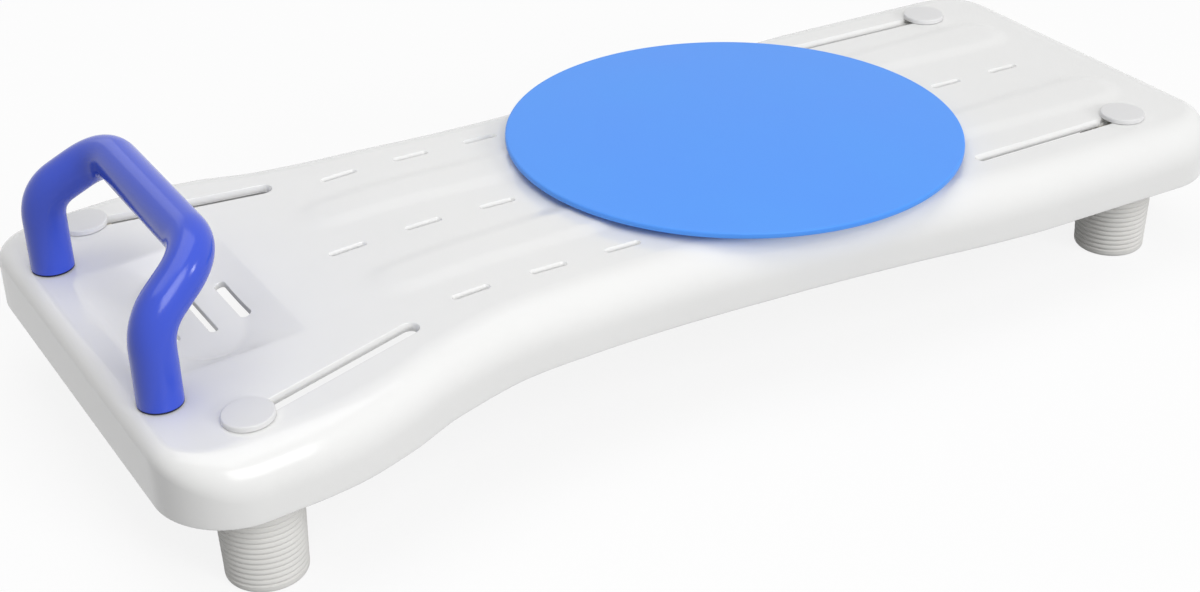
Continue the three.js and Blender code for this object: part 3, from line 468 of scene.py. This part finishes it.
RACE_SCREW_CIRCLE, RIB_START, RIB_END, CROSS_RIB_START = 34.0, -240.0, 345.0, -182.3
screw_turns = [math.pi / 2 + k * 2 * math.pi / 3 for k in range(3)]
race_screws = [(RACE_SCREW_CIRCLE * math.cos(turn), RACE_SCREW_CIRCLE * math.sin(turn)) for turn in screw_turns]
under = [rib((RIB_START, y), (RIB_END, y), 60) for y in RIB_ROWS]
for k in range(6):
    place = CROSS_RIB_START + k * 2 * DRAIN_PITCH
    under.append(rib((place, RIB_ROWS[0]), (place, RIB_ROWS[-1]), 40))


def boss(radius, bore, low):
    """Profile of a round boss with an open bore and a softened lower edge."""
    return square_ring(bore, radius, low, -WALL + 0.5, [0, 0.4, 0.8, 0, 0])


SLIT_LIP = 6.5


def slit_lip(start, end, slit_half):
    """Lip that hangs below the deck round an adjusting slot of a half width: slot outlines
    down its outside, with a softened lower edge, and up its inside."""
    rings = []
    for radius, drop in ((SLIT_LIP, 3.1), (SLIT_LIP, 4.4), (6.2, SLIT_LOW), (slit_half + 0.3, SLIT_LOW),
                         (slit_half + 0.06, 4.4), (slit_half + 0.44, 3.1), (SLIT_LIP, 3.1)):
        outline = stadium(start, end, radius)
        rings.append(np.column_stack([outline, deck_at(outline[:, 0]) - drop]))
    return np.concatenate(rings), grid_faces(len(rings), len(rings[0]), True)


under += [slit_lip(start, end, SLIT_HALF if start[0] < 0 else FAR_SLIT_HALF) for start, end in slits]
for side in (-1, 1):
    under.append(turned(boss(*HANDLE_BOSS, BOSS_LOW), (HANDLE_X, side * HANDLE_HALF, DECK)))
under.append(turned(boss(*HUB_BOSS, BOSS_LOW), turntable_place, TILT))
for x, y in race_screws:
    under.append(turned(boss(*SCREW_BOSS, SCREW_BOSS_LOW), on_turntable(x, y), TILT, 32))
ribs = new_piece("board_ribs", under)
finish(ribs, white_polypropylene, "board", "white_moulding")


# Feet. Each has a grey cap moulded over a bolt head, a nylon clamp washer under the deck, and
# a peg: a nylon core with a brass insert nut inside a ribbed rubber sleeve.

# Pale grey moulded plastic with a dull face, on which no lamp leaves a sharp glint.
grey_cap_plastic = moulded("grey_cap_plastic", "#e8e8e8", "#e2e2e3", 0.45, 0.5, 0.004)
# Off-white moulded rubber with a dry, slightly coarse skin: every ring shades softly.
ribbed_rubber = moulded("ribbed_rubber", "#eeedea", "#e6e5e2", 0.62, 0.9, 0.02, 0.4)
# Moulded nylon without colour: a warm, half dull white.
natural_nylon = moulded("natural_nylon", "#ece8dc", "#e2ddd0", 0.42, 0.8, 0.01)
# Stainless steel and brass as they come from the lathe: their reflections are blurred. The
# tool marks are too fine to show, so their grain is drawn about three times as coarse.
stainless_steel = moulded("stainless_steel", "#c3c5c8", "#aeb0b4", 0.3, 0.35, 0.003, metallic=1.0)
turned_brass = moulded("turned_brass", "#d2b264", "#b8964a", 0.32, 0.35, 0.003, metallic=1.0)
CAP_RADIUS, CAP_LOW, CAP_TOP = 14.4, 0.3, 3.5
KEY_HALF_LENGTH, KEY_HALF, FAR_KEY_HALF = 7.0, 4.1, 2.6
CLAMP_RADIUS, CLAMP_THICK, BOLT_BORE, BOLT_END = 17, 2.5, 2.8, 39.7
FLANGE_RADIUS, FLANGE_THICK, CORE_RADIUS, CORE_FOOT = 19, 3, 11, 5.3
INSERT_RADIUS, INSERT_REACH, RUN_GAP = 5.3, 11.6, 0.3
RING_PITCH, RING_COUNT, RING_DEPTH = 3.42, 15, 1.1
SLEEVE_TOP, SLEEVE_BOTTOM, SLEEVE_FOOT, SLEEVE_RIM = 25.6, 22.6, 5.1, 2.6
SLEEVE_BORE, SLEEVE_FLOOR = 11.3, 5.0


def sleeve_profile(top):
    """Ribbed sleeve: full rings between narrow grooves, where the radius drops by the depth
    times 1 - |sin(pi t)|^0.7 over each ring's t from 0 to 1, a rounded rim and a plain bore."""
    ring = np.linspace(0, 1, 15)
    steps = np.append((np.arange(RING_COUNT - 1)[:, None] + ring[None, :-1]).ravel(), RING_COUNT - 1)
    height = SLEEVE_FOOT + steps * RING_PITCH
    radius = (SLEEVE_BOTTOM + (SLEEVE_TOP - SLEEVE_BOTTOM) * height / top
              - RING_DEPTH * (1 - np.abs(np.sin(math.pi * steps)) ** 0.7))
    turn = np.linspace(0, math.pi / 2, 7)
    rim = np.column_stack([SLEEVE_BOTTOM - SLEEVE_RIM + 2.7 * np.sin(turn),
                           SLEEVE_RIM - SLEEVE_RIM * np.cos(turn)])
    crown = [(SLEEVE_TOP - 0.1, height[-1] + 1.6), (SLEEVE_TOP, top - 0.8), (SLEEVE_TOP - 0.8, top)]
    return np.concatenate([[(0, 0)], rim, [(SLEEVE_BOTTOM + 0.2, SLEEVE_FOOT - 0.8)],
                           np.column_stack([radius, height]), crown,
                           [(SLEEVE_BORE, top), (SLEEVE_BORE, SLEEVE_FLOOR), (0, SLEEVE_FLOOR)]])


def leaned(parts, slope, x):
    """Parts whose heights rise with x at a slope, as the deck does under them."""
    return [(np.reshape(points, (-1, 3)) + slope * (np.reshape(points, (-1, 3))[:, :1] - x) * [0, 0, 1], faces)
            for points, faces in parts]


for name, (place, inner_place, slope) in FEET.items():
    deck = float(deck_at(place[0]))
    here = (place[0], place[1], deck)
    heading = math.atan2(inner_place[1] - place[1], inner_place[0] - place[0])
    cap_profile = rounded([(0, CAP_TOP), (CAP_RADIUS, CAP_TOP), (CAP_RADIUS, CAP_LOW), (3.0, CAP_LOW),
                           (3.0, CAP_LOW + 0.4), (0, CAP_LOW + 0.4)], [0, 1.2, 0.5, 0, 0, 0], 6)
    key_x = KEY_HALF_LENGTH * np.array([-1, 1, 1, -1])
    key_y = (KEY_HALF if slope > 0 else FAR_KEY_HALF) * np.array([-1, -1, 1, 1])
    key = [np.column_stack([place[0] + key_x * math.cos(heading) - key_y * math.sin(heading),
                            place[1] + key_x * math.sin(heading) + key_y * math.cos(heading),
                            np.full(4, deck + z)]) for z in (CAP_LOW + 0.4, -SLIT_LOW + 0.8)]
    key_faces = grid_faces(2, 4, True).tolist() + [[0, 1, 2, 3], [7, 6, 5, 4]]
    cap_parts = [turned(cap_profile, here), (np.concatenate(key), key_faces)]
    cap = new_piece("cap_" + name, leaned(cap_parts, slope, place[0]))
    finish(cap, grey_cap_plastic, "carriage_" + name, "grey_plastic", "foot_cap_" + name)

    washer_top = -SLIT_LOW - RUN_GAP
    washer_low = washer_top - CLAMP_THICK
    washer_profile = square_ring(BOLT_BORE, CLAMP_RADIUS, washer_low, washer_top, [0, 0.3, 0.7, 0.7, 0])
    washer = new_piece("clamp_washer_" + name, leaned([turned(washer_profile, here)], slope, place[0]))
    finish(washer, natural_nylon, "carriage_" + name, "natural_nylon", "foot_washer_" + name)

    flange = washer_low - CLAMP_RADIUS * abs(slope) - RUN_GAP
    flange_low, core_low = flange - FLANGE_THICK, CORE_FOOT - deck
    bolt_end, insert_end = BOLT_END - deck, flange - INSERT_REACH
    core_profile = rounded(
        [(INSERT_RADIUS, flange), (FLANGE_RADIUS, flange), (FLANGE_RADIUS, flange_low),
         (CORE_RADIUS, flange_low), (CORE_RADIUS, core_low), (0, core_low), (0, bolt_end),
         (BOLT_BORE, bolt_end), (BOLT_BORE, insert_end), (INSERT_RADIUS, insert_end), (INSERT_RADIUS, flange)],
        [0, 0.8, 0.8, 0, 0.8, 0, 0, 0, 0, 0, 0])
    core = new_piece("peg_core_" + name, [turned(core_profile, here)])
    finish(core, natural_nylon, "peg_" + name, "natural_nylon", "foot_core_" + name)

    sleeve_top = deck + flange - 3.3
    sleeve = new_piece("sleeve_" + name, [turned(sleeve_profile(sleeve_top), (place[0], place[1], 0), 0, 96)])
    finish(sleeve, ribbed_rubber, "peg_" + name, "grey_rubber", "foot_sleeve_" + name)
    for node, material in (("foot_bolt_", stainless_steel), ("foot_insert_", turned_brass)):
        dress(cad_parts[node + name], material)


# Grab handle. A tube bent out of the upright at the knees and into the grip at the elbows,
# with a smooth blue coat, standing on thin dark gaskets and screwed on from below.
TUBE, TUBE_BORE = 12.6, 9.5
KNEE, GRIP_REACH, GRIP_HALF, GRIP_HEIGHT = 47.5, 37.0, 71.2, 73.0
KNEE_BEND, ELBOW_BEND = 15.0, 21.0
TUBE_FOOT = DECK + 1.4


def handle_path(steps=18):
    """Centreline points: straight stretches joined by quadratic bends at knees and elbows."""
    half = [np.array([HANDLE_X, -HANDLE_HALF, TUBE_FOOT]), np.array([HANDLE_X, -HANDLE_HALF, DECK + KNEE]),
            np.array([HANDLE_X + GRIP_REACH, -GRIP_HALF, DECK + GRIP_HEIGHT])]
    corners = half + [p * [1, -1, 1] for p in half[::-1]]
    path = [corners[0]]
    for k, reach in zip(range(1, 5), (KNEE_BEND, ELBOW_BEND, ELBOW_BEND, KNEE_BEND)):
        back, ahead = corners[k - 1] - corners[k], corners[k + 1] - corners[k]
        first = corners[k] + back * reach / np.linalg.norm(back)
        last = corners[k] + ahead * reach / np.linalg.norm(ahead)
        t = np.linspace(0, 1, steps + 1)[:, None]
        path += list((1 - t) ** 2 * first + 2 * t * (1 - t) * corners[k] + t**2 * last)
    return np.array(path + [corners[-1]])


def swept(path, radii, segments=64):
    """Tube along a path: at each point a circle square to the path's direction, whose first
    axis is also square to one fixed direction. The path is walked out at the first radius and
    back at the second, so that flat rings close the ends."""
    ahead = np.gradient(path, axis=0)
    ahead[0], ahead[-1] = path[1] - path[0], path[-1] - path[-2]
    ahead /= np.linalg.norm(ahead, axis=1)[:, None]
    across = np.cross(ahead, [1.0, 0.0, -0.3])
    across /= np.linalg.norm(across, axis=1)[:, None]
    third = np.cross(ahead, across)
    turn = np.linspace(0, 2 * math.pi, segments, endpoint=False)
    circle = across[:, None, :] * np.cos(turn)[None, :, None] + third[:, None, :] * np.sin(turn)[None, :, None]
    outer, inner = path[:, None, :] + radii[0] * circle, path[:, None, :] + radii[1] * circle
    rings = np.concatenate([outer, inner[::-1], outer[:1]])
    return rings, grid_faces(len(rings), segments, True)


# Glossy blue plastic coat, so smooth that each lamp runs along the tube as a narrow glint.
blue_coat = moulded("blue_coat", "#3653d2", "#324ecb", 0.18, 0.9, 0.001, 0.5, 0.02)
# Dull rubber, dark with a hint of blue: only a thin dark line shows under each leg.
gasket_rubber = moulded("gasket_rubber", "#2a2c44", "#222438", 0.7, 0.6, 0.02, 0.3)
handle = new_piece("grab_handle", [swept(handle_path(), (TUBE, TUBE_BORE))])
finish(handle, blue_coat, "board", "handle_blue", "handle_tube")
WASHER_LOW = BOSS_LOW - 1.9
screw_washer = square_ring(4.3, 11, WASHER_LOW, WASHER_LOW + 1.6, [0, 0.2, 0.4, 0.2, 0])
gasket_profile = square_ring(4.6, TUBE - 0.2, RUN_GAP, 1.1, [0, 0, 0.2, 0.2, 0])
for side, end in ((-1, "front"), (1, "back")):
    here = (HANDLE_X, side * HANDLE_HALF, DECK)
    gasket = new_piece("gasket_" + end, [turned(gasket_profile, here)])
    finish(gasket, gasket_rubber, "board", "black_rubber", "handle_gasket_" + end)
    washer = new_piece("handle_steel_washer_" + end, [turned(screw_washer, here)])
    finish(washer, stainless_steel, "board", "steel", "handle_washer_" + end)
    for node, material in (("handle_plug_", natural_nylon), ("handle_screw_", stainless_steel)):
        dress(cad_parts[node + end], material)


# Turntable. A round moulded seat with a fine spark-eroded grain and a thin bevelled rim turns
# on a nylon glide ring over a race plate, held by one screw from below.

# The grain gives the blue plastic a broad, soft sheen. The real one is too fine to show, so it
# is drawn 1.5 mm wide.
seat_blue_plastic = moulded("seat_blue_plastic", "#55a1ff", "#4d98ff", 0.5, 1.5, 0.05, 0.5)
DISC, DISC_LOW, DISC_THICK = 146.0, 4.7, 3.6
PAD_OUTER, PAD_INNER, HUB, HUB_BORE = 57, 43, 11, 6.8
RACE_BORE, RACE, GLIDE_INNER, GLIDE_OUTER, GLIDE_LOW = 11.8, 60, 44, 56, 2.0
BUSH_BORE, BUSH, BUSH_FLANGE = 4.3, 7.7, 11.5
disc_top = DISC_LOW + DISC_THICK
race_top, glide_top = 1.7, 3.2
pad_low, hub_low, bore_top = glide_top + RUN_GAP, race_top + RUN_GAP, disc_top - 1.1
disc_profile = rounded(
    [(0, disc_top), (DISC, disc_top), (DISC, DISC_LOW), (PAD_OUTER, DISC_LOW), (PAD_OUTER, pad_low),
     (PAD_INNER, pad_low), (PAD_INNER, DISC_LOW), (HUB, DISC_LOW), (HUB, hub_low), (HUB_BORE, hub_low),
     (HUB_BORE, bore_top), (0, bore_top)], [0, 1.5, 0.7, 0, 0, 0, 0, 0, 0.4, 0, 0, 0])
disc = new_piece("seat_disc", [turned(disc_profile, turntable_place, TILT, 288)])
finish(disc, seat_blue_plastic, "turntable", "seat_blue", "turntable_disc")
for piece_name, node, profile in (
    ("race_plate", "turntable_race", square_ring(RACE_BORE, RACE, RUN_GAP, race_top, [0, 0, 0, 0.5, 0])),
    ("glide_ring", "turntable_glide_ring",
     square_ring(GLIDE_INNER, GLIDE_OUTER, GLIDE_LOW, glide_top, [0, 0.2, 0.2, 0.4, 0])),
    ("spindle_bush", "turntable_bush", rounded(
        [(BUSH_BORE, race_top), (BUSH_BORE, BOSS_LOW), (BUSH, BOSS_LOW), (BUSH, RUN_GAP),
         (BUSH_FLANGE, RUN_GAP), (BUSH_FLANGE, race_top), (BUSH_BORE, race_top)], [0, 0.2, 0.2, 0, 0, 0.3, 0])),
):
    made = new_piece(piece_name, [turned(profile, turntable_place, TILT, 144)])
    finish(made, natural_nylon, "board", "natural_nylon", node)
spindle_washer = new_piece("spindle_washer", [turned(screw_washer, turntable_place, TILT)])
finish(spindle_washer, stainless_steel, "turntable", "steel", "turntable_washer")
for node in ("spindle_screw", "race_screw_1", "race_screw_2", "race_screw_3"):
    dress(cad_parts["turntable_" + node], stainless_steel)
dress(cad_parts["turntable_insert"], turned_brass)


# Studio. A white floor that keeps a pale shadow, a white world, a soft lamp in front whose
# glint runs along the rolled edge, one overhead, and a low one from the right that leaves the
# handle end face in shade. Two small lamps light the handle alone.
def seen_node(owner):
    """Node that is 1 for camera, glossy and transmission rays, in a material or the world."""
    ray = add_node(owner, "ShaderNodeLightPath")
    direct = add_node(owner, "ShaderNodeMath", {
        0: ray.outputs["Is Camera Ray"], 1: ray.outputs["Is Glossy Ray"]}, operation="MAXIMUM")
    return add_node(owner, "ShaderNodeMath", {
        0: direct.outputs[0], 1: ray.outputs["Is Transmission Ray"]}, operation="MAXIMUM")


FLOOR_WHITE_SHARE, WORLD_LIGHT, FLOOR_REACH = 0.86, 0.36, 6.0
floor_material = bpy.data.materials.new("studio_floor")
floor_material.use_nodes = True
floor_material.node_tree.nodes.clear()
seen = seen_node(floor_material)
share = add_node(floor_material, "ShaderNodeMath", {
    0: seen.outputs[0], 1: FLOOR_WHITE_SHARE}, operation="MULTIPLY")
shade = add_node(floor_material, "ShaderNodeMix", {"Factor": seen.outputs[0]}, data_type="RGBA")
shade.inputs["A"].default_value = srgb("#a8a8a8")
shade.inputs["B"].default_value = srgb("#ffffff")
matt_floor = add_node(floor_material, "ShaderNodeBsdfDiffuse", {"Color": shade.outputs["Result"]})
white_floor = add_node(floor_material, "ShaderNodeEmission", {"Color": srgb("#ffffff"), "Strength": 1.0})
floor_surface = add_node(floor_material, "ShaderNodeMixShader", {
    0: share.outputs[0], 1: matt_floor.outputs[0], 2: white_floor.outputs[0]})
add_node(floor_material, "ShaderNodeOutputMaterial", {"Surface": floor_surface.outputs[0]})
floor_mesh = bpy.data.meshes.new("floor")
floor_corners = [(FLOOR_REACH * x, FLOOR_REACH * y, 0) for x, y in ((-1, -1), (1, -1), (1, 1), (-1, 1))]
floor_mesh.from_pydata(floor_corners, [], [(0, 1, 2, 3)])
floor_mesh.materials.append(floor_material)
floor = bpy.data.objects.new("floor", floor_mesh)
bpy.context.scene.collection.objects.link(floor)

world = bpy.data.worlds.new("studio")
world.use_nodes = True
world.node_tree.nodes.clear()
bpy.context.scene.world = world
seen = seen_node(world)
dim = add_node(world, "ShaderNodeBackground", {"Color": srgb("#ffffff"), "Strength": WORLD_LIGHT})
bright = add_node(world, "ShaderNodeBackground", {"Color": srgb("#ffffff"), "Strength": 1.0})
mixed = add_node(world, "ShaderNodeMixShader", {0: seen.outputs[0], 1: dim.outputs[0], 2: bright.outputs[0]})
add_node(world, "ShaderNodeOutputWorld", {"Surface": mixed.outputs[0]})


def lamp(name, kind, place, target, **settings):
    """Lamp of a kind at a place, aimed at a target, with its settings."""
    light = bpy.data.lights.new(name, kind)
    for key, value in settings.items():
        setattr(light, key, value)
    holder = bpy.data.objects.new(name, light)
    bpy.context.scene.collection.objects.link(holder)
    holder.location = place
    holder.rotation_euler = (Vector(target) - Vector(place)).to_track_quat("-Z", "Y").to_euler()
    return holder


lamp("front_lamp", "AREA", (-0.1, -2.5, 2.3), (-0.05, 0.0, 0.08), size=1.5, energy=28.0)
lamp("top_lamp", "AREA", (-0.35, 0.2, 2.5), (-0.15, 0.0, 0.1), size=2.2, energy=22.0)
side_lamp = lamp("side_lamp", "SUN", (0.9, -2.4, 0.9), (0.0, 0.0, 0.1), angle=0.3, energy=1.0)
side_lamp.visible_glossy = False
handle_lit = bpy.data.collections.new("handle_lit")
handle_lit.objects.link(handle)
HANDLE_MIDDLE = (-0.31, -0.07, 0.16)
for name, place, size, energy in (("glint_lamp", (0.95, -1.46, 1.05), 0.3, 4.2),
                                  ("rim_lamp", (-0.3, 2.6, 1.7), 1.2, 3.0)):
    handle_lamp = lamp(name, "AREA", place, HANDLE_MIDDLE, size=size, energy=energy)
    handle_lamp.light_linking.receiver_collection = handle_lit

# Camera. Its place, turn and lens were solved from the outlines in the photograph. The focal
# length comes out in pixels of a photograph 1200 wide.
AZIMUTH, PITCH, CAMERA_ROLL = math.radians(30.518), math.radians(29.894), math.radians(-1.538)
CAMERA_PLACE = (-0.6113, -0.9856, 0.6742)
SENSOR_MM, FOCAL_PIXELS, PHOTO_WIDTH = 36.0, 2066.8, 1200
ahead = Vector((math.sin(AZIMUTH) * math.cos(PITCH), math.cos(AZIMUTH) * math.cos(PITCH), -math.sin(PITCH)))
level = Vector((math.cos(AZIMUTH), -math.sin(AZIMUTH), 0.0))
raised = level.cross(ahead)
right = level * math.cos(CAMERA_ROLL) + raised * math.sin(CAMERA_ROLL)
up = raised * math.cos(CAMERA_ROLL) - level * math.sin(CAMERA_ROLL)
camera_data = bpy.data.cameras.new("camera")
camera_data.sensor_width, camera_data.lens = SENSOR_MM, SENSOR_MM * FOCAL_PIXELS / PHOTO_WIDTH
camera = bpy.data.objects.new("camera", camera_data)
bpy.context.scene.collection.objects.link(camera)
turn = Matrix((right, up, -ahead)).transposed().to_4x4()
camera.matrix_world = Matrix.Translation(CAMERA_PLACE) @ turn
bpy.context.scene.camera = camera

bpy.context.scene.view_settings.view_transform = "Standard"
